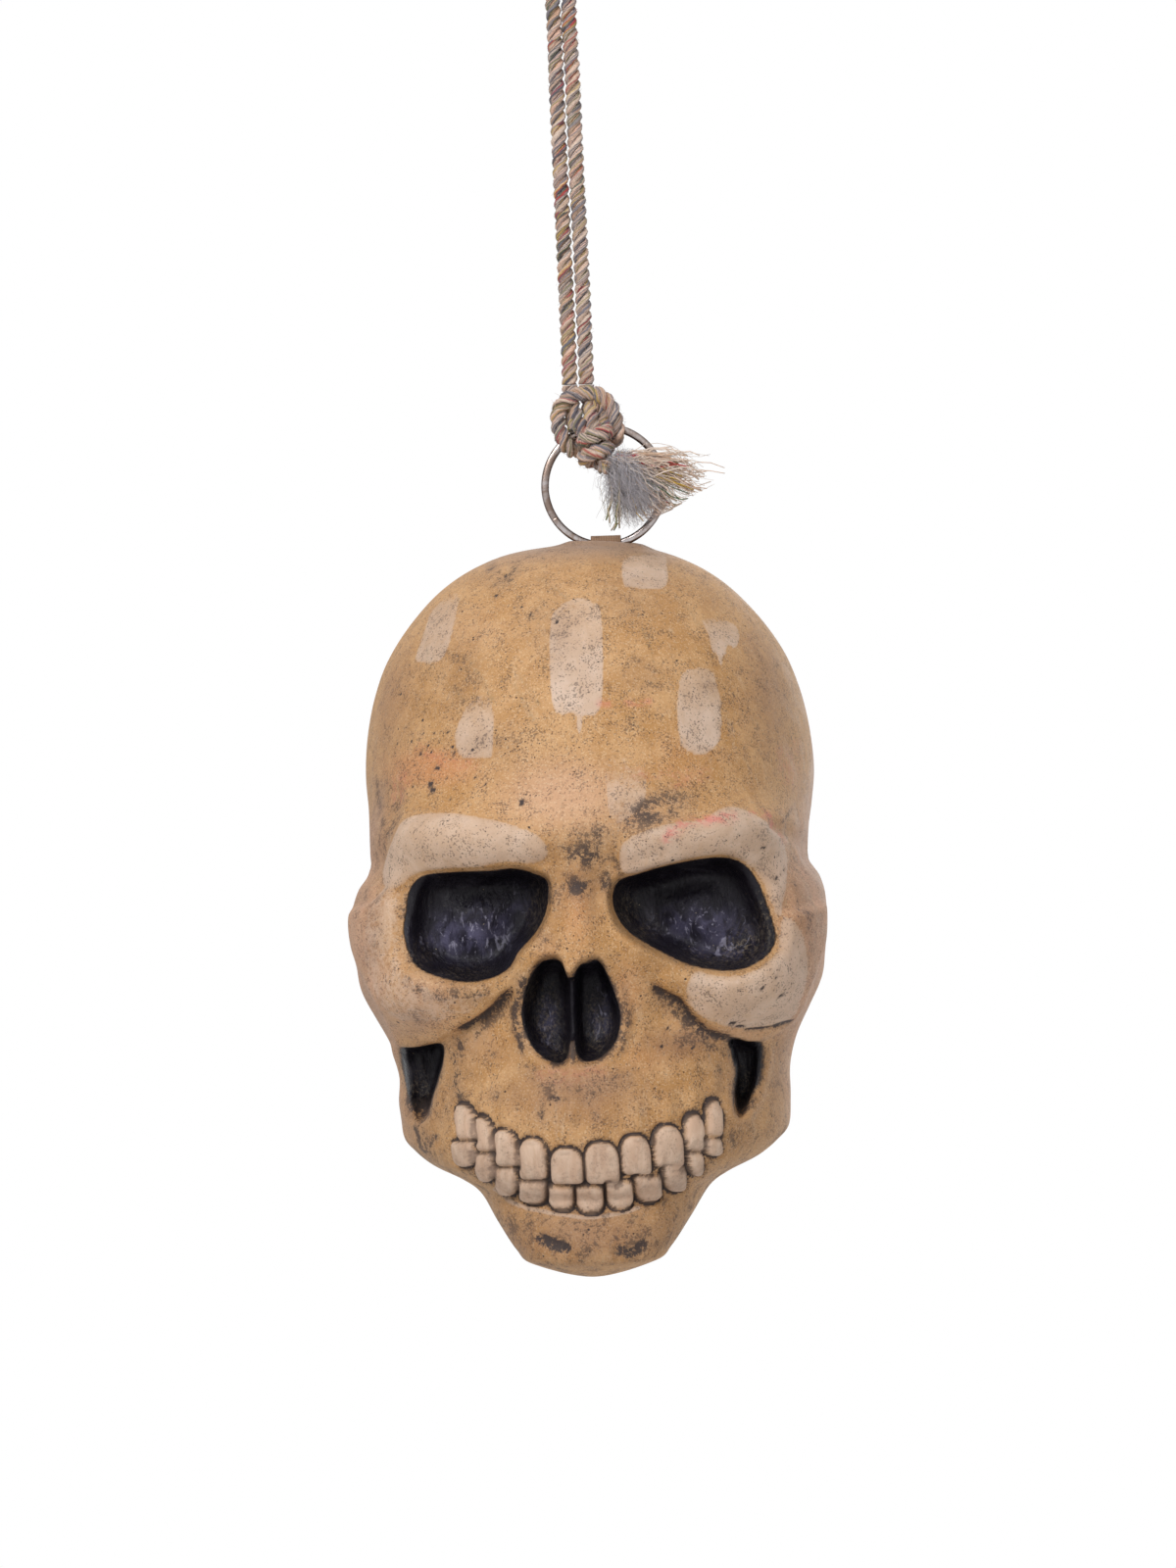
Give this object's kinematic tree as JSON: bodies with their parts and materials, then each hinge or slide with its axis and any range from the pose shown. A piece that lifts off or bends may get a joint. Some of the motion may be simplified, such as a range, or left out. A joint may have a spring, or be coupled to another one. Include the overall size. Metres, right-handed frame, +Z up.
{
  "type": "hanging halloween skull decoration",
  "caption": "Life-size-style painted latex skull with a foam core, hung by a crown strap, a split ring and a doubled rope with a frayed knot.",
  "frame": {"origin": "the point under the rope loop's top where a hook bears", "axes": "+Z up along the hanging rope, -Y the way the face looks, +X to the right as seen from the front"},
  "size_m": [0.1424, 0.1794, 0.4175],
  "materials": {
    "painted_latex": "satin, hand painted and washed dark in the hollows",
    "foam": "open-cell foam",
    "plug_rubber": "matte",
    "strap_webbing": "latex-dipped webbing",
    "zinc_plate": "zinc plated",
    "ring_steel": "nickel plated, slightly tarnished",
    "rope_yarn": "twisted recycled yarn, matte",
    "rope_fray": "frayed fibre ends"
  },
  "bodies": {
    "rope": {"rope_loop": "rope_yarn"},
    "knot": {"ring_hitch": "rope_yarn", "stopper_knot": "rope_yarn", "frayed_tail": "rope_fray"},
    "ring": {"split_ring": "ring_steel"},
    "skull": {"skull_skin": "painted_latex", "foam_core": "foam", "pour_plug": "plug_rubber", "hanger_strap": "strap_webbing", "anchor_washer": "zinc_plate"}
  },
  "joints": [
    {"name": "rope_twist", "type": "hinge", "parent": "rope", "child": "knot", "pos_m": [0.0018, 0, -0.1498], "axis": [0, 0, 1], "range_deg": [-90, 90]},
    {"name": "ring_turn", "type": "hinge", "parent": "knot", "child": "ring", "pos_m": [0.0087, 0, -0.18061], "axis": [0, 1, 0], "range_deg": [-30, 30], "deforming": ["frayed_tail"]},
    {"name": "skull_tilt", "type": "hinge", "parent": "ring", "child": "skull", "pos_m": [0.0087, 0, -0.19846], "axis": [1, 0, 0], "range_deg": [-30, 30]}
  ]
}
